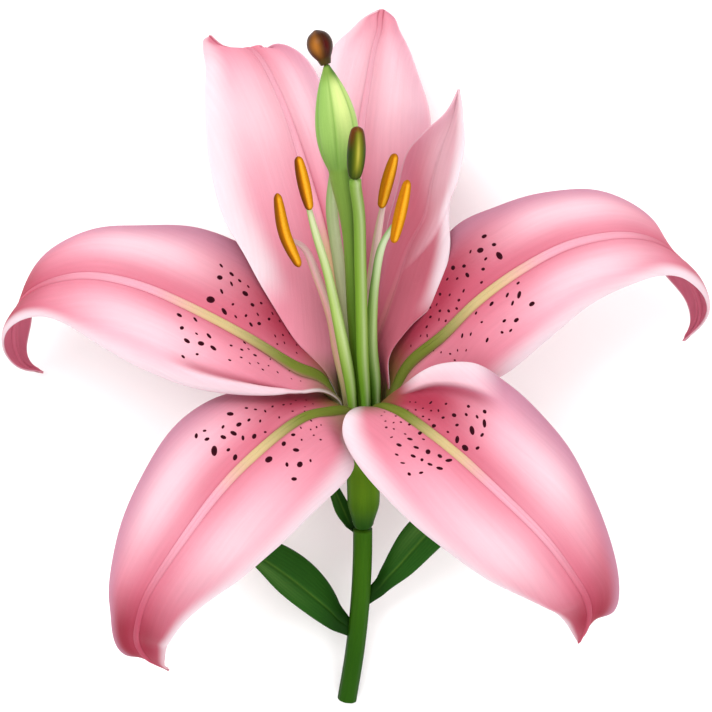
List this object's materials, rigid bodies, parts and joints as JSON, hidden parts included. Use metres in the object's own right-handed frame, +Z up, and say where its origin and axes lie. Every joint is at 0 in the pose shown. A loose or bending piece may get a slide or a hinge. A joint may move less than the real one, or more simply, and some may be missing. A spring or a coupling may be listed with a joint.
{
  "type": "cut lily",
  "caption": "Cut lily lying on its lowest petals and stem end: spotted pink petals curling back, long stamens, a swollen pistil, leaves.",
  "frame": {"origin": "on the surface that the flower lies on, under the middle of its bounding box", "axes": "+Z up off the surface, the stem's cut end towards -Y, the flower's mouth towards +Y and up, +X across the flower"},
  "size_m": [0.1992, 0.1962, 0.0861],
  "materials": {
    "tepal": "satin",
    "filament": "satin",
    "anther": "matte",
    "unripe_anther": "satin",
    "pistil": "satin",
    "stigma": "satin",
    "receptacle": "satin",
    "stem": "satin",
    "leaf": "satin"
  },
  "bodies": {
    "root": {"tepal_lower_right": "tepal", "tepal_right": "tepal", "tepal_upper_right": "tepal", "tepal_top": "tepal", "tepal_upper_left": "tepal", "tepal_left": "tepal", "tepal_lower_left": "tepal", "filament_front": "filament", "filament_right": "filament", "filament_back_right": "filament", "filament_back": "filament", "filament_left": "filament", "filament_front_left": "filament", "anther_front": "unripe_anther", "anther_right": "anther", "anther_back_right": "anther", "anther_back": "anther", "anther_left": "anther", "anther_front_left": "anther", "pistil": "pistil", "stigma": "stigma", "receptacle": "receptacle", "stem": "stem", "leaf_left": "leaf", "leaf_right": "leaf", "bract": "leaf"}
  },
  "joints": []
}
